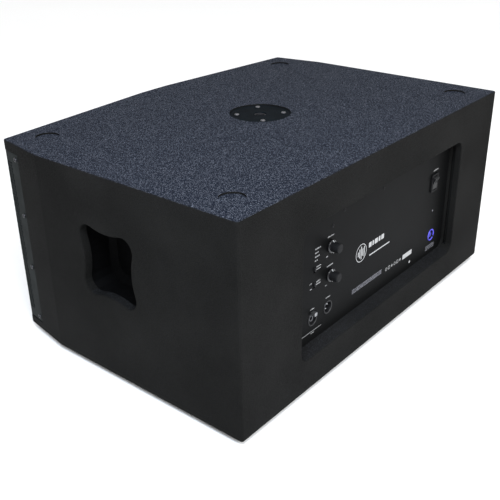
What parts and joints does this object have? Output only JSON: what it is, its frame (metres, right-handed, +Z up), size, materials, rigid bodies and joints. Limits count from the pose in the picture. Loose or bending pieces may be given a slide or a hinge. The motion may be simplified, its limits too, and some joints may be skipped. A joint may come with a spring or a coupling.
{
  "type": "pa speaker cabinet",
  "caption": "Active PA subwoofer cabinet with bent perforated grille, side hand grips, recessed rear amplifier panel, stacking pockets and a threaded pole socket.",
  "frame": {"origin": "middle of the footprint, at the undersides of the feet", "axes": "+Z up; the grille faces -Y and the amplifier panel +Y; +X is the right-hand side seen from the front"},
  "size_m": [0.77, 0.545, 0.36],
  "materials": {
    "cabinet_paint": "black textured structure paint on plywood, semi-matt with fine raised grain",
    "inner_wood": "bare birch plywood",
    "grille_steel": "black powder-coated perforated sheet steel",
    "grille_foam": "open-cell black acoustic foam",
    "black_plastic": "fine-grained moulded plastic",
    "black_screw": "blackened steel",
    "bright_screw": "zinc-plated steel",
    "flange_steel": "black powder-coated steel",
    "rubber": "moulded rubber",
    "panel_paint": "black satin paint on aluminium sheet with white printing",
    "aluminium": "extruded",
    "circuit_board": "glass-fibre board with solder mask",
    "copper": "enamelled copper winding",
    "cone_paper": "coated paper",
    "inlet_blue": "blue moulded plastic",
    "latch_metal": "nickel-plated push tab",
    "driver_steel": "black painted pressed steel and ferrite"
  },
  "bodies": {
    "cabinet": {"top_board": "cabinet_paint", "bottom_board": "cabinet_paint", "side_board_right": "cabinet_paint", "side_board_left": "cabinet_paint", "rear_board": "cabinet_paint", "front_baffle": "cabinet_paint", "amp_ledge_frame": "cabinet_paint", "amp_chamber": "inner_wood", "window_brace": "inner_wood", "handle_cup_right": "black_plastic", "handle_cup_left": "black_plastic", "port_tube_upper": "black_plastic", "port_tube_lower": "black_plastic", "rocker_bezel": "black_plastic", "signal_input": "black_plastic", "signal_output": "black_plastic", "grille": "grille_steel", "grille_foam": "grille_foam", "grille_screw_right_1": "black_screw", "grille_screw_right_2": "black_screw", "grille_screw_right_3": "black_screw", "grille_screw_right_4": "black_screw", "grille_screw_left_1": "black_screw", "grille_screw_left_2": "black_screw", "grille_screw_left_3": "black_screw", "grille_screw_left_4": "black_screw", "pole_screw_1": "bright_screw", "pole_screw_2": "bright_screw", "pole_screw_3": "bright_screw", "pole_screw_4": "bright_screw", "pole_flange": "flange_steel", "foot_rear_right": "rubber", "foot_rear_left": "rubber", "foot_front_right": "rubber", "foot_front_left": "rubber", "amp_plate": "panel_paint", "heatsink": "aluminium", "amp_circuit_board": "circuit_board", "transformer": "copper", "mains_inlet": "inlet_blue", "woofer_basket_right": "driver_steel", "woofer_magnet_right": "driver_steel", "woofer_spider_right": "cone_paper", "woofer_surround_right": "rubber", "woofer_basket_left": "driver_steel", "woofer_magnet_left": "driver_steel", "woofer_spider_left": "cone_paper", "woofer_surround_left": "rubber"},
    "level_knob": {"level_knob": "black_plastic"},
    "crossover_knob": {"crossover_knob": "black_plastic"},
    "polarity_switch": {"polarity_switch": "black_plastic"},
    "ground_switch": {"ground_switch": "black_plastic"},
    "rocker_key": {"rocker_key": "black_plastic"},
    "input_latch": {"input_latch": "latch_metal"},
    "cone_right": {"woofer_cone_right": "cone_paper", "dust_cap_right": "cone_paper"},
    "cone_left": {"woofer_cone_left": "cone_paper", "dust_cap_left": "cone_paper"}
  },
  "joints": [
    {"name": "level_knob_turn", "type": "hinge", "parent": "cabinet", "child": "level_knob", "pos_m": [0.1375, 0.25, 0.2245], "axis": [0, -1, 0], "range_deg": [-150, 150]},
    {"name": "crossover_knob_turn", "type": "hinge", "parent": "cabinet", "child": "crossover_knob", "pos_m": [0.1375, 0.25, 0.1735], "axis": [0, -1, 0], "range_deg": [-150, 150]},
    {"name": "polarity_switch_slide", "type": "slide", "parent": "cabinet", "child": "polarity_switch", "axis": [0, 0, -1], "range_m": [0, 0.003]},
    {"name": "ground_switch_slide", "type": "slide", "parent": "cabinet", "child": "ground_switch", "axis": [0, 0, -1], "range_m": [0, 0.003]},
    {"name": "rocker_key_tilt", "type": "hinge", "parent": "cabinet", "child": "rocker_key", "pos_m": [-0.201, 0.247, 0.224], "axis": [1, 0, 0], "range_deg": [0, 24]},
    {"name": "input_latch_press", "type": "slide", "parent": "cabinet", "child": "input_latch", "axis": [0, -1, 0], "range_m": [0, 0.0025], "stiffness_N_per_m": 300},
    {"name": "cone_right_stroke", "type": "slide", "parent": "cabinet", "child": "cone_right", "axis": [0, -1, 0], "range_m": [-0.006, 0.006], "stiffness_N_per_m": 3300, "deforming": ["woofer_surround_right", "woofer_spider_right"]},
    {"name": "cone_left_stroke", "type": "slide", "parent": "cabinet", "child": "cone_left", "axis": [0, -1, 0], "range_m": [-0.006, 0.006], "stiffness_N_per_m": 3300, "deforming": ["woofer_surround_left", "woofer_spider_left"]}
  ]
}
